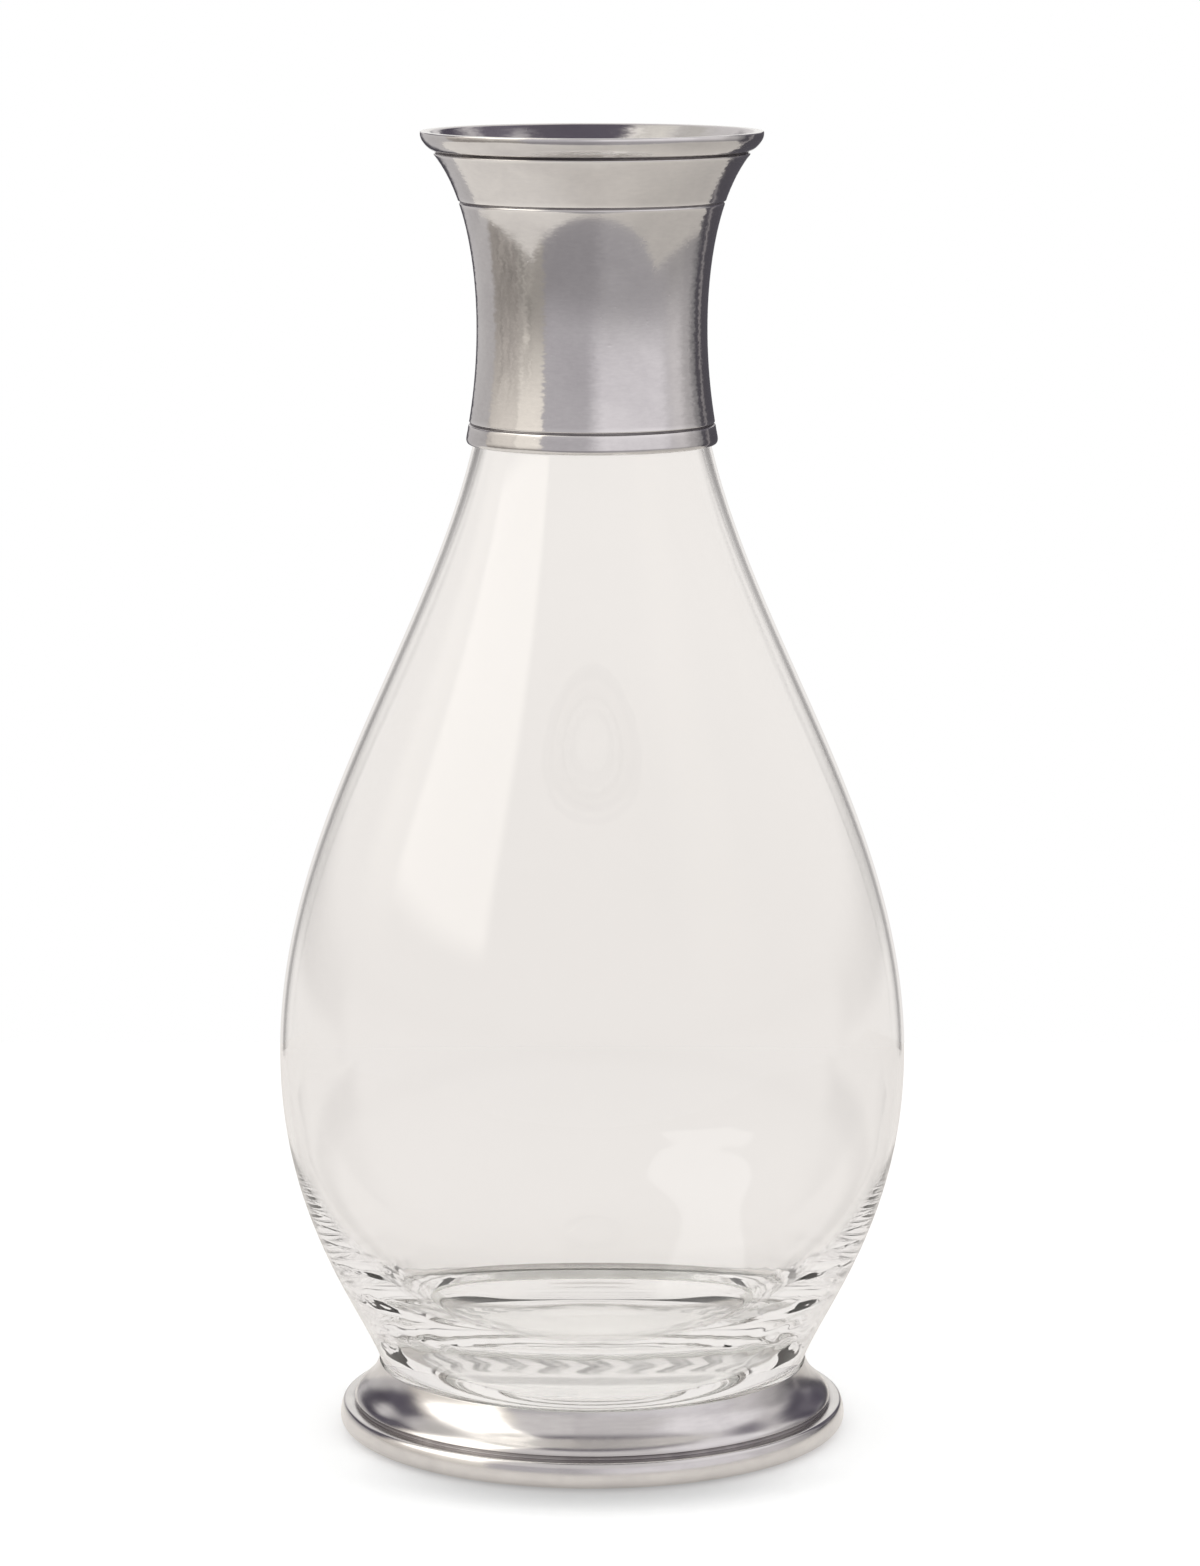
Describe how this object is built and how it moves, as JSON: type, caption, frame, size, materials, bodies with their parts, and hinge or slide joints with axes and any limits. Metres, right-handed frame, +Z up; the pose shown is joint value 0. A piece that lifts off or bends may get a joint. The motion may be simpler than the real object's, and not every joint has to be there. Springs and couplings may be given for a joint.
{
  "type": "carafe",
  "caption": "Teardrop glass carafe with a heavy base, a flared pewter collar over its neck and mouth and a moulded pewter ring foot, for serving water or wine.",
  "frame": {"origin": "centre of the foot's flat contact ring, on the table", "axes": "+Z up along the turning axis; the body is round, so X and Y are free, and -Y faces the pictured side"},
  "size_m": [0.12, 0.12, 0.25],
  "materials": {
    "clear_glass": "clear polished blown glass",
    "pewter": "lathe-brushed satin pewter",
    "cement": "matt hardened adhesive"
  },
  "bodies": {
    "root": {"glass_body": "clear_glass", "collar": "pewter", "collar_cement": "cement", "foot": "pewter", "foot_cement": "cement"}
  },
  "joints": []
}
